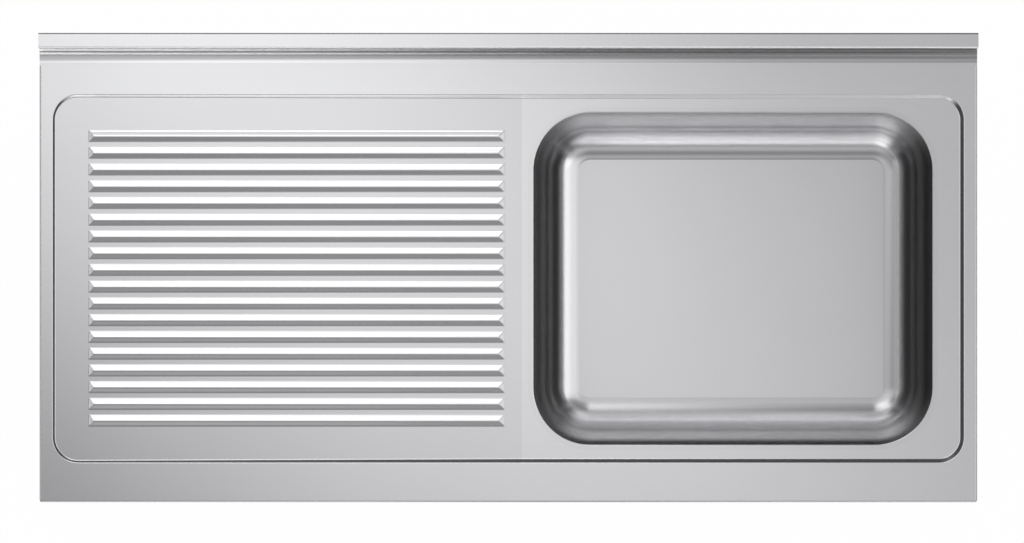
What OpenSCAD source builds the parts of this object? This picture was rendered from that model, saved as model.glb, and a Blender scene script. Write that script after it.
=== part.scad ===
// Stainless steel sink top with a ribbed drainer on the left and one deep bowl on the right.
// The origin is the middle of the four fixing holes, in the plane that rests on the stand.
// +X points to the bowl end, +Y to the wall side with the upstand and +Z up. Sizes are in millimetres.

/* [Top] */
// Length of the top, end to end
top_w = 1400; // [1300:10:1800]
// Depth of the top, front apron to wall
top_d = 700; // [680:10:800]
// Height of the aprons, from the stand to the deck
apron_h = 40; // [38:1:80]
// Thickness of the stainless sheet
sheet_t = 1.2; // [0.8:0.1:1.5]
// Outer radius of the folds along the edges of the deck
fold_r = 2.5; // [2:0.1:4]
// Width of the flange turned in under the aprons
return_w = 15; // [8:1:25]

/* [Lowered panel] */
// Raised rim left at each end of the top
panel_side = 19.5; // [12:0.5:40]
// Raised rim left at the front
panel_front = 59; // [50:1:80]
// Raised rim left in front of the wall joint
panel_rear = 91; // [80:1:110]
// Corner radius of the panel's outer edge
panel_r = 38; // [20:1:60]
// Drop of the panel at its left end
panel_drop_left = 3.5; // [2:0.25:5]
// Drop of the panel beside the bowl
panel_drop = 6; // [5:0.25:8]
// Run of the panel's side walls for each millimetre of drop
panel_lean = 1; // [0.6:0.1:1.4]

/* [Drainer ribs] */
// Number of ribs
rib_count = 18; // [4:1:19]
// Distance from crest to crest
rib_pitch = 25; // [20:0.5:26]
// Height of the crests above the panel
rib_h = 4; // [2:0.5:6]
// Width of the side of a rib that faces the wall
rib_rear_w = 8.7; // [6:0.1:9.5]
// Width of the side of a rib that faces the front
rib_front_w = 7.6; // [6:0.1:9.5]
// Width of the blunt crest
rib_crest_w = 0.8; // [0.4:0.1:1.5]
// Run of the sloping left end of a rib
rib_run_left = 6.4; // [4:0.2:12]
// Run of the sloping right end of a rib
rib_run_right = 8.3; // [4:0.1:12]
// Flat margin between the left edge of the panel and the ribs
rib_margin_left = 53.5; // [50:0.5:90]
// Flat margin between the ribs and the seam
rib_margin_seam = 26; // [26:1:60]

/* [Bowl] */
// Length of the bowl's mouth along X
bowl_w = 596; // [460:1:620]
// Depth of the bowl's mouth along Y
bowl_d = 496; // [380:1:500]
// Depth of the bowl below the panel
bowl_h = 300; // [260:5:400]
// Corner radius of the mouth
bowl_r = 86; // [80:1:120]
// Distance from the mouth in to the flat floor
floor_inset = 69; // [62:1:75]
// Radius of the cove between wall and floor
cove_r = 49; // [30:1:55]
// Radius of the rolled rim
rim_r = 4; // [2:0.5:6]
// Start of the rolled rim outside the mouth
rim_outset = 2; // [1:0.5:4]
// Width of the welding flange round the mouth
bowl_flange = 8; // [6:1:10]
// Panel width between the bowl and the right edge of the panel
bowl_side = 47; // [46:1:70]
// Distance from the bowl's mouth to the seam with the drainer sheet
seam_gap = 17.5; // [17.5:0.5:30]

/* [Upstand] */
// Height of the upstand above the deck
upstand_h = 100; // [50:5:150]
// Thickness of the upstand, front to back
upstand_t = 23; // [18:1:36]
// Radius of the cove at the foot
foot_r = 22; // [10:1:24]
// Flat land in front of the cove
foot_w = 3; // [2:1:8]
// Radius of the front top edge
brow_r = 3; // [2:0.5:6]
// Height of the back fold
back_h = 25; // [18:1:40]

/* [Stiffeners] */
// Thickness of the hat channels
channel_t = 1.5; // [1:0.1:2]
// Height of the hat channels
channel_h = 22; // [15:1:24]
// Width of the bonding flanges of a hat channel
channel_lip = 8; // [6:1:8]
// Width of the front channel over its flanges
front_channel_w = 44; // [36:1:46]
// Width of the channels across the panel over their flanges
cross_channel_w = 34; // [32:1:34]
// Gap from the edges of a panel to what is bonded under it
bond_gap = 2; // [1:0.5:3]
// Thickness of the sound-deadening board
board_t = 6; // [3:0.5:9]
// Width of the rear rail's top flange
rail_top_w = 65; // [60:1:80]
// Width of the upstand ties
tie_w = 30; // [20:1:50]
// Thickness of the upstand ties
tie_t = 1.5; // [1:0.1:3]
// Length of the tie's foot on the rear rail
tie_foot = 22; // [12:1:24]
// Overlap of a tie with the back fold
tie_lap = 15; // [8:1:20]

/* [Fixing] */
// Distance of the fixing holes from the outer faces
hole_inset = 45; // [35:1:50]
// Diameter of the fixing holes
hole_d = 9; // [7:0.5:11]
// Size of a corner plate, measured from the outer faces
bracket_w = 70; // [62:1:90]
// Thickness of the corner plates
bracket_t = 3; // [2:0.5:6]
// Cut corner of a corner plate
bracket_cut = 25; // [5:1:25]
// Width of the earthing lug
tag_w = 20; // [16:1:30]
// Thickness of the earthing lug
tag_t = 2; // [1.5:0.5:3]
// Reach of the earthing lug from the rear rail
tag_reach = 34; // [30:1:50]
// Height of the earthing lug's welded leg
tag_leg = 15; // [10:1:18]
// Height of the earthing lug above the stand
tag_z = 18; // [10:1:18]
// Diameter of the hole in the earthing lug
tag_hole_d = 6.5; // [4.5:0.5:8.5]
// Distance of the earthing lug from the left end
tag_from_end = 120; // [100:5:250]

/* [Anti-drumming pads] */
// Thickness of the pads
pad_t = 3; // [2:0.5:6]
// Height of the pads on the bowl's walls
pad_h = 120; // [60:5:130]
// Length of the pads on the left and right walls
pad_end_w = 180; // [100:5:200]
// Length of the pads on the front and rear walls
pad_long_w = 260; // [100:5:300]
// Distance of the pads below the rim, along the wall
pad_drop = 50; // [20:5:60]
// Length of the pad under the floor
floor_pad_w = 320; // [150:5:380]
// Depth of the pad under the floor
floor_pad_d = 220; // [120:5:300]

/* [Hidden] */
$fn = 96;

// Levels and edges of the deck
half_w = top_w / 2;
half_d = top_d / 2;
deck_z = apron_h;
under_z = deck_z - sheet_t;
panel_z = deck_z - panel_drop;
panel_under_z = panel_z - sheet_t;
panel_x0 = -half_w + panel_side;
panel_x1 = half_w - panel_side;
panel_y0 = -half_d + panel_front;
panel_y1 = half_d - panel_rear;
panel_cy = (panel_y0 + panel_y1) / 2;
upstand_y = half_d - upstand_t;
joint_y = upstand_y - foot_r - foot_w;
upstand_z = deck_z + upstand_h;

// Bowl and seam
bowl_cx = panel_x1 - bowl_side - bowl_w / 2;
bowl_cy = panel_cy;
seam_x = bowl_cx - bowl_w / 2 - seam_gap;

// Fall of the drainer towards the seam
drainer_x0 = panel_x0 + panel_drop_left * panel_lean;
fall = atan2(panel_drop - panel_drop_left, seam_x - drainer_x0);
rib_x0 = panel_x0 + rib_margin_left - seam_x;
rib_x1 = -rib_margin_seam;

// Wall of the bowl: rim and cove centres by distance from the corner's axis, and the lean of the wall
rim_c = [bowl_r + rim_outset, -rim_r];
cove_c = [bowl_r - floor_inset, cove_r - bowl_h];
wall_lean = acos((cove_r + rim_r) / norm(rim_c - cove_c)) - atan2(rim_c[1] - cove_c[1], rim_c[0] - cove_c[0]);
into_bowl = [-cos(wall_lean), sin(wall_lean)];
up_wall = [sin(wall_lean), cos(wall_lean)];

// Underside
span_y0 = panel_y0 + panel_drop * panel_lean + bond_gap;
span_y1 = panel_y1 - panel_drop * panel_lean - bond_gap;
left_channel_x = drainer_x0 + bond_gap + cross_channel_w / 2;
seam_channel_x = bowl_cx - bowl_w / 2 - rim_outset - bond_gap - cross_channel_w / 2;
right_channel_x = (bowl_cx + bowl_w / 2 + bowl_flange + panel_x1 - panel_drop * panel_lean) / 2;
board_x0 = left_channel_x + cross_channel_w / 2 + bond_gap - seam_x;
board_x1 = seam_channel_x - cross_channel_w / 2 - bond_gap - seam_x;
board_w = board_x1 - board_x0;
front_channel_y = (-half_d + fold_r + panel_y0) / 2;

// Overshoot of a cut, lap of the bowl's wall on its rim, and depth of the block that a form is cut from
over = 1;
weld = 0.05;
form_depth = 20;
steel = [0.78, 0.79, 0.80];
plain_steel = [0.60, 0.62, 0.64];

// A box with round corners in plan, centred on the origin in X and Y
module round_box(w, d, h, r) {
    translate([-w / 2 + r, -d / 2, 0]) cube([w - 2 * r, d, h]);
    translate([-w / 2, -d / 2 + r, 0]) cube([w, d - 2 * r, h]);
    for (x = [-1, 1], y = [-1, 1])
        translate([x * (w / 2 - r), y * (d / 2 - r), 0]) cylinder(h = h, r = r);
}

// The part of a ring between two angles, under half a turn
module ring_sector(r_out, r_in, a0, a1) {
    reach = 2 * r_out;
    intersection() {
        difference() {
            circle(r = r_out);
            circle(r = r_in);
        }
        polygon([[0, 0], for (a = [a0, (a0 + a1) / 2, a1]) reach * [cos(a), sin(a)]]);
    }
}

// Space of the lowered panel down to a given drop, with leaning walls and round corners
module panel_space(drop) {
    w = panel_x1 - panel_x0;
    d = panel_y1 - panel_y0;
    grow = over * panel_lean;
    shrink = drop * panel_lean;
    ends = [[-w / 2 - grow, over], [w / 2 + grow, over], [w / 2 - shrink, -drop], [-w / 2 + shrink, -drop]];
    sides = [[-d / 2 - grow, over], [d / 2 + grow, over], [d / 2 - shrink, -drop], [-d / 2 + shrink, -drop]];
    translate([(panel_x0 + panel_x1) / 2, panel_cy, deck_z]) {
        rotate([90, 0, 0])
            linear_extrude(d - 2 * panel_r, center = true) polygon(ends);
        rotate([90, 0, 90])
            linear_extrude(w - 2 * panel_r, center = true) polygon(sides);
        for (x = [-1, 1], y = [-1, 1])
            translate([x * (w / 2 - panel_r), y * (d / 2 - panel_r), -drop])
                cylinder(h = drop + over, r1 = panel_r - shrink, r2 = panel_r + grow);
    }
}

// Places its children on the sloping drainer, with the local origin on the seam
module on_drainer() {
    translate([seam_x, panel_cy, panel_z]) rotate([0, fall, 0]) children();
}

// Solid ribs on the local plane, cut to their sloping ends
module ribs() {
    sink = sheet_t + over;
    left = rib_run_left / rib_h;
    right = rib_run_right / rib_h;
    top = rib_h + over;
    intersection() {
        for (i = [0:rib_count - 1])
            translate([rib_x0 - 2 * sink * left, (i - (rib_count - 1) / 2) * rib_pitch, 0])
                rotate([90, 0, 90])
                    linear_extrude(rib_x1 - rib_x0 + 2 * sink * (left + right))
                        polygon([[-rib_front_w, -sink], [-rib_front_w, 0], [-rib_crest_w / 2, rib_h],
                            [rib_crest_w / 2, rib_h], [rib_rear_w, 0], [rib_rear_w, -sink]]);
        rotate([90, 0, 0])
            linear_extrude((rib_count + 1) * rib_pitch, center = true)
                polygon([[rib_x0, -sink], [rib_x0, 0], [rib_x0 + top * left, top],
                    [rib_x1 - top * right, top], [rib_x1, 0], [rib_x1, -sink]]);
    }
}

// Turns a form into a sheet: the form less the same form one sheet lower
module pressed() {
    difference() {
        children();
        translate([0, 0, -sheet_t]) children();
    }
}

// Solid under the deck from x0 to x1, without its folded edges
module deck_block(x0, x1) {
    translate([x0, -half_d + fold_r, deck_z - form_depth])
        cube([x1 - x0, joint_y + half_d - fold_r, form_depth]);
}

// Section of a folded edge: distance from the outer face by height
module edge_section() {
    translate([fold_r, deck_z - fold_r]) ring_sector(fold_r, fold_r - sheet_t, 90, 180);
    square([sheet_t, deck_z - fold_r]);
}

// Folded edge along the front from x0 to x1, mitred at the end that lies on the side given
module front_edge(x0, x1, side) {
    cut = 2 * fold_r;
    intersection() {
        translate([x0, -half_d, 0])
            rotate([90, 0, 90]) linear_extrude(x1 - x0) edge_section();
        translate([0, 0, -over])
            linear_extrude(deck_z + 2 * over)
                polygon([[side * half_w, -half_d], [side * (half_w - cut), -half_d + cut],
                    [side < 0 ? x1 : x0, -half_d + cut], [side < 0 ? x1 : x0, -half_d]]);
    }
}

// Folded edge along the end of the top that lies on the side given, mitred at the front
module end_edge(side) {
    cut = 2 * fold_r;
    intersection() {
        translate([side * half_w, joint_y, 0])
            mirror([side < 0 ? 0 : 1, 0, 0])
                rotate([90, 0, 0]) linear_extrude(joint_y + half_d) edge_section();
        translate([0, 0, -over])
            linear_extrude(deck_z + 2 * over)
                polygon([[side * half_w, -half_d], [side * (half_w - cut), -half_d + cut],
                    [side * (half_w - cut), joint_y], [side * half_w, joint_y]]);
    }
}

// Return flange under the end of the top that lies on the side given, clear of the corner plates
module end_return(side) {
    w = return_w - sheet_t;
    translate([side < 0 ? -half_w + sheet_t : half_w - return_w, -half_d + bracket_w, 0])
        cube([w, top_d - 2 * bracket_w, sheet_t]);
}

// Return flange along the front from x0 to x1
module front_return(x0, x1) {
    translate([x0, -half_d + sheet_t, 0]) cube([x1 - x0, return_w - sheet_t, sheet_t]);
}

module drainer_sheet() {
    color(steel) {
        pressed() {
            difference() {
                deck_block(-half_w + fold_r, seam_x);
                intersection() {
                    panel_space(form_depth / 2);
                    on_drainer()
                        translate([-top_w, -top_d / 2, 0])
                            cube([top_w + form_depth, top_d, form_depth]);
                }
            }
            on_drainer() ribs();
        }
        front_edge(-half_w, seam_x, -1);
        end_edge(-1);
        end_return(-1);
        front_return(-half_w + bracket_w, seam_x);
    }
}

module bowl_sheet() {
    color(steel) {
        difference() {
            pressed()
                difference() {
                    deck_block(seam_x, half_w - fold_r);
                    panel_space(panel_drop);
                }
            translate([bowl_cx, bowl_cy, panel_z - form_depth])
                round_box(bowl_w + 2 * bowl_flange, bowl_d + 2 * bowl_flange, 2 * form_depth,
                    bowl_r + bowl_flange);
        }
        front_edge(seam_x, half_w, 1);
        end_edge(1);
        end_return(1);
        front_return(seam_x, half_w - bracket_w);
    }
}

// Section of the bowl's wall and floor edge: distance from the corner's axis by height above the panel
module wall_section() {
    translate([rim_c[0], -sheet_t]) square([bowl_r + bowl_flange - rim_c[0], sheet_t]);
    translate(rim_c) ring_sector(rim_r, rim_r - sheet_t, 90, 180 - wall_lean);
    polygon([rim_c + rim_r * into_bowl + weld * up_wall, rim_c + (rim_r - sheet_t) * into_bowl + weld * up_wall,
        cove_c - (cove_r + sheet_t) * into_bowl, cove_c - cove_r * into_bowl]);
    translate(cove_c) ring_sector(cove_r + sheet_t, cove_r, -90, -wall_lean);
    translate([0, -bowl_h - sheet_t]) square([cove_c[0], sheet_t]);
}

// Places its children at the middle of one side of the bowl: 0 right, 1 rear, 2 left, 3 front
module on_bowl_side(side) {
    out = (side % 2 == 0 ? bowl_w : bowl_d) / 2 - bowl_r;
    translate([bowl_cx, bowl_cy, panel_z]) rotate(90 * side) translate([out, 0, 0]) children();
}

module sink_bowl() {
    core = [bowl_w - 2 * bowl_r, bowl_d - 2 * bowl_r];
    color(steel) {
        for (side = [0:3]) {
            run = core[(side + 1) % 2];
            on_bowl_side(side) {
                rotate([90, 0, 0]) linear_extrude(run, center = true) wall_section();
                translate([0, run / 2, 0]) rotate_extrude(angle = 90) wall_section();
            }
        }
        translate([bowl_cx - core[0] / 2, bowl_cy - core[1] / 2, panel_z - bowl_h - sheet_t])
            cube([core[0], core[1], sheet_t]);
    }
}

// Section of the upstand: Y by Z
module upstand_section() {
    translate([joint_y, under_z]) square([foot_w, sheet_t]);
    translate([upstand_y - foot_r, deck_z + foot_r]) ring_sector(foot_r + sheet_t, foot_r, -90, 0);
    translate([upstand_y, deck_z + foot_r]) square([sheet_t, upstand_h - foot_r - brow_r]);
    translate([upstand_y + brow_r, upstand_z - brow_r]) ring_sector(brow_r, brow_r - sheet_t, 90, 180);
    translate([upstand_y + brow_r, upstand_z - sheet_t]) square([upstand_t - brow_r - fold_r, sheet_t]);
    translate([half_d - fold_r, upstand_z - fold_r]) ring_sector(fold_r, fold_r - sheet_t, 0, 90);
    translate([half_d - sheet_t, upstand_z - back_h]) square([sheet_t, back_h - fold_r]);
}

module upstand() {
    color(steel)
        translate([-half_w + sheet_t, 0, 0])
            rotate([90, 0, 90]) linear_extrude(top_w - 2 * sheet_t) upstand_section();
}

// Outline of an end plate: Y by Z
module end_plate_outline() {
    translate([joint_y, 0]) square([half_d - joint_y, deck_z]);
    difference() {
        translate([joint_y + foot_w, deck_z]) square([foot_r, foot_r]);
        translate([upstand_y - foot_r, deck_z + foot_r]) circle(r = foot_r);
    }
    translate([upstand_y, deck_z]) square([upstand_t, upstand_h - max(brow_r, fold_r)]);
    translate([upstand_y + brow_r, deck_z]) square([upstand_t - brow_r - fold_r, upstand_h]);
    translate([upstand_y + brow_r, upstand_z - brow_r]) circle(r = brow_r);
    translate([half_d - fold_r, upstand_z - fold_r]) circle(r = fold_r);
    translate([half_d - fold_r, deck_z]) square([fold_r, upstand_h - fold_r]);
    translate([upstand_y, deck_z]) square([brow_r, upstand_h - brow_r]);
}

module end_plate(x) {
    color(steel)
        translate([x, 0, 0])
            rotate([90, 0, 90]) linear_extrude(sheet_t) end_plate_outline();
}

module end_plate_left() {
    end_plate(-half_w);
}

module end_plate_right() {
    end_plate(half_w - sheet_t);
}

module rear_rail() {
    w = top_w - 2 * fold_r;
    color(plain_steel) {
        translate([-w / 2, 0, 0])
            rotate([90, 0, 90])
                linear_extrude(w)
                    union() {
                        translate([half_d - rail_top_w, under_z - sheet_t])
                            square([rail_top_w - fold_r, sheet_t]);
                        translate([half_d - fold_r, under_z - fold_r])
                            ring_sector(fold_r, fold_r - sheet_t, 0, 90);
                        translate([half_d - sheet_t, 0]) square([sheet_t, under_z - fold_r]);
                    }
        translate([-half_w + bracket_w, half_d - return_w, 0])
            cube([top_w - 2 * bracket_w, return_w - sheet_t, sheet_t]);
    }
}

// Hat channel along Y, centred, with its flanges up at the local origin
module hat_channel(w, run) {
    crown = w / 2 - channel_lip;
    color(plain_steel)
        rotate([90, 0, 0])
            linear_extrude(run, center = true)
                polygon([[-w / 2, 0], [-crown + channel_t, 0], [-crown + channel_t, channel_t - channel_h],
                    [crown - channel_t, channel_t - channel_h], [crown - channel_t, 0], [w / 2, 0],
                    [w / 2, -channel_t], [crown, -channel_t], [crown, -channel_h],
                    [-crown, -channel_h], [-crown, -channel_t], [-w / 2, -channel_t]]);
}

module front_channel() {
    translate([0, front_channel_y, under_z])
        rotate(90) hat_channel(front_channel_w, top_w - 2 * (fold_r + bond_gap));
}

// Channel across the lowered panel, with its flanges at the height given
module cross_channel(x, z) {
    translate([x, (span_y0 + span_y1) / 2, z]) hat_channel(cross_channel_w, span_y1 - span_y0);
}

module left_channel() {
    on_drainer()
        translate([left_channel_x - seam_x, (span_y0 + span_y1) / 2 - panel_cy, -sheet_t])
            hat_channel(cross_channel_w, span_y1 - span_y0);
}

module seam_channel() {
    cross_channel(seam_channel_x, panel_under_z);
}

module right_channel() {
    cross_channel(right_channel_x, panel_under_z);
}

module drainer_board() {
    color([0.55, 0.42, 0.30])
        on_drainer()
            translate([board_x0, span_y0 - panel_cy, -sheet_t - board_t])
                cube([board_w, span_y1 - span_y0, board_t]);
}

// Channel under the board, at a share of its width
module board_channel(share) {
    on_drainer()
        translate([board_x0 + share * board_w, 0, -sheet_t - board_t])
            hat_channel(cross_channel_w, span_y1 - span_y0);
}

module drainer_channel_left() {
    board_channel(1 / 4);
}

module drainer_channel_right() {
    board_channel(3 / 4);
}

// Strap from the rear rail up inside the back fold
module upstand_tie(x) {
    back_y = half_d - sheet_t;
    color(plain_steel)
        translate([x - tie_w / 2, 0, 0])
            rotate([90, 0, 90])
                linear_extrude(tie_w)
                    polygon([[back_y, under_z], [back_y, upstand_z - back_h + tie_lap],
                        [back_y - tie_t, upstand_z - back_h + tie_lap], [back_y - tie_t, under_z + tie_t],
                        [back_y - tie_foot, under_z + tie_t], [back_y - tie_foot, under_z]]);
}

module upstand_tie_left() {
    upstand_tie(-top_w / 4);
}

module upstand_tie_middle() {
    upstand_tie(0);
}

module upstand_tie_right() {
    upstand_tie(top_w / 4);
}

// Corner plate in the corner whose signs are given, with its fixing hole
module bracket(sx, sy) {
    near = [half_w - sheet_t, half_d - sheet_t];
    far = [half_w - bracket_w, half_d - bracket_w];
    color(plain_steel)
        difference() {
            linear_extrude(bracket_t)
                polygon([[sx * near[0], sy * near[1]], [sx * near[0], sy * far[1]],
                    [sx * (far[0] + bracket_cut), sy * far[1]], [sx * far[0], sy * (far[1] + bracket_cut)],
                    [sx * far[0], sy * near[1]]]);
            translate([sx * (half_w - hole_inset), sy * (half_d - hole_inset), -over])
                cylinder(h = bracket_t + 2 * over, d = hole_d);
        }
}

module bracket_front_left() {
    bracket(-1, -1);
}

module bracket_front_right() {
    bracket(1, -1);
}

module bracket_rear_left() {
    bracket(-1, 1);
}

module bracket_rear_right() {
    bracket(1, 1);
}

// Pad on the outside of one wall of the bowl, lying flat on its lean
module wall_pad(side, w) {
    top = rim_c + (rim_r - sheet_t) * into_bowl;
    color([0.20, 0.20, 0.21])
        on_bowl_side(side)
            translate([top[0], 0, top[1]])
                rotate([0, wall_lean, 0])
                    translate([0, -w / 2, -pad_drop - pad_h]) cube([pad_t, w, pad_h]);
}

module bowl_pad_floor() {
    color([0.20, 0.20, 0.21])
        translate([bowl_cx - floor_pad_w / 2, bowl_cy - floor_pad_d / 2, panel_z - bowl_h - sheet_t - pad_t])
            cube([floor_pad_w, floor_pad_d, pad_t]);
}

module bowl_pad_right() {
    wall_pad(0, pad_end_w);
}

module bowl_pad_rear() {
    wall_pad(1, pad_long_w);
}

module bowl_pad_left() {
    wall_pad(2, pad_end_w);
}

module bowl_pad_front() {
    wall_pad(3, pad_long_w);
}

// Lug welded inside the rear rail, with a hole for the bonding cable's screw
module earth_tag() {
    web_y = half_d - sheet_t;
    color(steel)
        translate([-half_w + tag_from_end, 0, 0])
            difference() {
                translate([-tag_w / 2, 0, 0])
                    rotate([90, 0, 90])
                        linear_extrude(tag_w)
                            polygon([[web_y, tag_z], [web_y, tag_z + tag_leg],
                                [web_y - tag_t, tag_z + tag_leg], [web_y - tag_t, tag_z + tag_t],
                                [web_y - tag_reach, tag_z + tag_t], [web_y - tag_reach, tag_z]]);
                translate([0, web_y - tag_reach + tag_w / 2, tag_z - over])
                    cylinder(h = tag_t + 2 * over, d = tag_hole_d);
            }
}

drainer_sheet();
bowl_sheet();
sink_bowl();
upstand();
end_plate_left();
end_plate_right();
rear_rail();
front_channel();
left_channel();
seam_channel();
right_channel();
drainer_board();
drainer_channel_left();
drainer_channel_right();
upstand_tie_left();
upstand_tie_middle();
upstand_tie_right();
bracket_front_left();
bracket_front_right();
bracket_rear_left();
bracket_rear_right();
bowl_pad_floor();
bowl_pad_left();
bowl_pad_right();
bowl_pad_front();
bowl_pad_rear();
earth_tag();
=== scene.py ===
"""Dressed model of a stainless steel sink top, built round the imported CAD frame.

The top has a ribbed drainer on the left, one deep bowl on the right and an upstand along
the wall side. Sizes in the classes are millimetres, and meshes are written in metres.
"""

import logging
import math
from contextlib import contextmanager
from dataclasses import dataclass, field
from enum import Enum
from typing import Any, Callable, Iterator, Optional, Sequence, Union

import bmesh
import bpy
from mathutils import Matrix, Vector
from mathutils.geometry import tessellate_polygon

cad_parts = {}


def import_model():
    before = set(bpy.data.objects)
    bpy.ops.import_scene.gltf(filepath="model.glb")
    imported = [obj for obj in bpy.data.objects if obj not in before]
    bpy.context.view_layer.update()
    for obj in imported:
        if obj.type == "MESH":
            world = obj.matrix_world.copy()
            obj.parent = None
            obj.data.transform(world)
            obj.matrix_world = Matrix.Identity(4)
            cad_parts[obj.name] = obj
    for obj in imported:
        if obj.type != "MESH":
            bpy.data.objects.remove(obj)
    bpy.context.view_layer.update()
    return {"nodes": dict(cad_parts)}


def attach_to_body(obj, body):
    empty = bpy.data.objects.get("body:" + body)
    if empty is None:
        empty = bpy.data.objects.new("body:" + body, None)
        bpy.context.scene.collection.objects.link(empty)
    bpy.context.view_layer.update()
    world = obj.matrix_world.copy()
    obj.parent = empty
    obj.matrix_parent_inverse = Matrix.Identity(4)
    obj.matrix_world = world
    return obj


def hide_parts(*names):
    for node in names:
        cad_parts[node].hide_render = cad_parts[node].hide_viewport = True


LOG = logging.getLogger("sink_top")
MM = 0.001
BODY = "root"
# the pan attribute also places the painted shade of the lowered pan
PAN = "pan"  # face attribute, 1 on the drainer's lowered panel and its ribs
NOISE_REACH = (0.3, 0.7)  # nearly all values of a noise texture lie in it
# limit over which the painted wall light and shade set in
LOOKS_UP = (-0.04, 0.0)  # upward part of a normal over which wall tones set in
UP = Vector((0, 0, 1))

Pair = tuple[float, float]
Triple = tuple[float, float, float]
Section = list[Pair]
Colour = tuple[float, float, float, float]
Object = bpy.types.Object
Mesh = bpy.types.Mesh
Material = bpy.types.Material
Tree = bpy.types.NodeTree
Socket = bpy.types.NodeSocket
Term = Union[float, Socket]


# Small helpers shared by the classes


def linear(code: str) -> Colour:
    """Turns an sRGB hex colour into linear RGBA.

    Args:
        code: six hex digits.

    Returns:
        Linear red, green, blue and an alpha of 1.
    """
    parts = [int(code[i : i + 2], 16) / 255 for i in (0, 2, 4)]
    r, g, b = (c / 12.92 if c <= 0.04045 else ((c + 0.055) / 1.055) ** 2.4 for c in parts)
    return (r, g, b, 1.0)


def add_node(
    tree: Tree, kind: str, inputs: Optional[dict[Any, Any]] = None, **settings: Any
) -> bpy.types.Node:
    """Adds one node to a tree.

    Args:
        tree: shader or geometry tree that gets the node.
        kind: the node's type name.
        inputs: value of an input or the socket to link into it, by its name or index.
        settings: attributes of the node.

    Returns:
        The new node.
    """
    node = tree.nodes.new(kind)
    for key, value in settings.items():
        setattr(node, key, value)
    for key, value in (inputs or {}).items():
        if isinstance(value, Socket):
            tree.links.new(value, node.inputs[key])
        else:
            node.inputs[key].default_value = value
    return node


def first_output(*args: Any, **kwargs: Any) -> Socket:
    """Adds a node as add_node does and gives its first output."""
    return add_node(*args, **kwargs).outputs[0]


def maths(tree: Tree, operation: str, *terms: Term, clamp: bool = False) -> Socket:
    """Adds a math node with its terms and gives its result, kept from 0 to 1 if clamped."""
    inputs = dict(enumerate(terms))
    return first_output(tree, "ShaderNodeMath", inputs, operation=operation, use_clamp=clamp)


def vector_maths(tree: Tree, operation: str, *terms: Union[Triple, Socket]) -> Any:
    """Adds a vector math node with its terms and gives its outputs."""
    inputs = dict(enumerate(terms))
    return add_node(tree, "ShaderNodeVectorMath", inputs, operation=operation).outputs


def ramp(tree: Tree, source: Socket, reach: Pair, levels: Pair, smooth: bool = True) -> Socket:
    """Leads from one level to another while a value goes through its reach.

    Args:
        tree: tree that gets the node.
        source: the value.
        reach: the values at the first and at the second level.
        levels: the two levels.
        smooth: whether the lead eases in and out.

    Returns:
        The socket with the level.
    """
    names = ("Value", "From Min", "From Max", "To Min", "To Max")
    inputs = dict(zip(names, (source, *reach, *levels)))
    way = "SMOOTHSTEP" if smooth else "LINEAR"
    return first_output(tree, "ShaderNodeMapRange", inputs, interpolation_type=way)


def noise(tree: Tree, at: Socket, scale: float, detail: float, roughness: float) -> Socket:
    """Adds a noise texture and gives its value."""
    inputs = {"Vector": at, "Scale": scale, "Detail": detail, "Roughness": roughness}
    return add_node(tree, "ShaderNodeTexNoise", inputs).outputs["Fac"]


def relief(tree: Tree, height: Socket, depth_mm: float) -> Socket:
    """Adds a bump of a real depth and gives its normal."""
    inputs = {"Strength": 1.0, "Distance": depth_mm * MM, "Height": height}
    return first_output(tree, "ShaderNodeBump", inputs)


def shade(tree: Tree, inputs: dict[str, Any]) -> None:
    """Ends a material's tree in a Principled BSDF with the given inputs."""
    surface = first_output(tree, "ShaderNodeBsdfPrincipled", inputs)
    add_node(tree, "ShaderNodeOutputMaterial", {"Surface": surface})


def empty_tree(owner: Union[Material, bpy.types.Light, bpy.types.World]) -> Tree:
    """Gives a material, a lamp or the world an empty shader tree.

    Args:
        owner: what gets the tree.

    Returns:
        The tree.
    """
    owner.use_nodes = True
    owner.node_tree.nodes.clear()
    return owner.node_tree


def arc(centre: Pair, radius: float, start: float, end: float, steps: int) -> Section:
    """Points on an arc.

    Args:
        centre: centre of the arc.
        radius: radius of the arc.
        start: first angle in degrees.
        end: last angle in degrees.
        steps: number of chords.

    Returns:
        The points from start to end, both included.
    """
    angles = (math.radians(start + (end - start) * i / steps) for i in range(steps + 1))
    return [(centre[0] + radius * math.cos(a), centre[1] + radius * math.sin(a)) for a in angles]


def sharpen(mesh: Mesh, degrees: float) -> None:
    """Shades a mesh smooth with sharp edges.

    Args:
        mesh: the mesh.
        degrees: angle above which its edges stay sharp.
    """
    mesh.polygons.foreach_set("use_smooth", [True] * len(mesh.polygons))
    mesh.set_sharp_from_angle(angle=math.radians(degrees))
    mesh.update()


@contextmanager
def edited(mesh: Mesh, source: Optional[Mesh] = None) -> Iterator[Any]:
    """Opens a mesh for editing and writes the result back.

    Args:
        mesh: the mesh that gets the result.
        source: another mesh to start from, which stays as it is.

    Yields:
        The editable copy.
    """
    work = bmesh.new()
    work.from_mesh(mesh if source is None else source)
    yield work
    work.to_mesh(mesh)
    work.free()


def bevel(work: Any, chosen: Callable[[Any], bool], width: float) -> None:
    """Breaks edges of a mesh that is being edited.

    Args:
        work: the editable copy.
        chosen: tells whether an edge is broken.
        width: width of the broken edge in millimetres.
    """
    edges = [edge for edge in work.edges if chosen(edge)]
    bmesh.ops.bevel(
        work, geom=edges, offset=width * MM, segments=2, affect="EDGES", clamp_overlap=True
    )


def new_object(name: str, mesh: Mesh) -> Object:
    """Links a mesh to the scene as an object at the origin.

    Args:
        name: name of the object.
        mesh: its mesh.

    Returns:
        The object.
    """
    obj = bpy.data.objects.new(name, mesh)
    bpy.context.scene.collection.objects.link(obj)
    return obj


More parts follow.
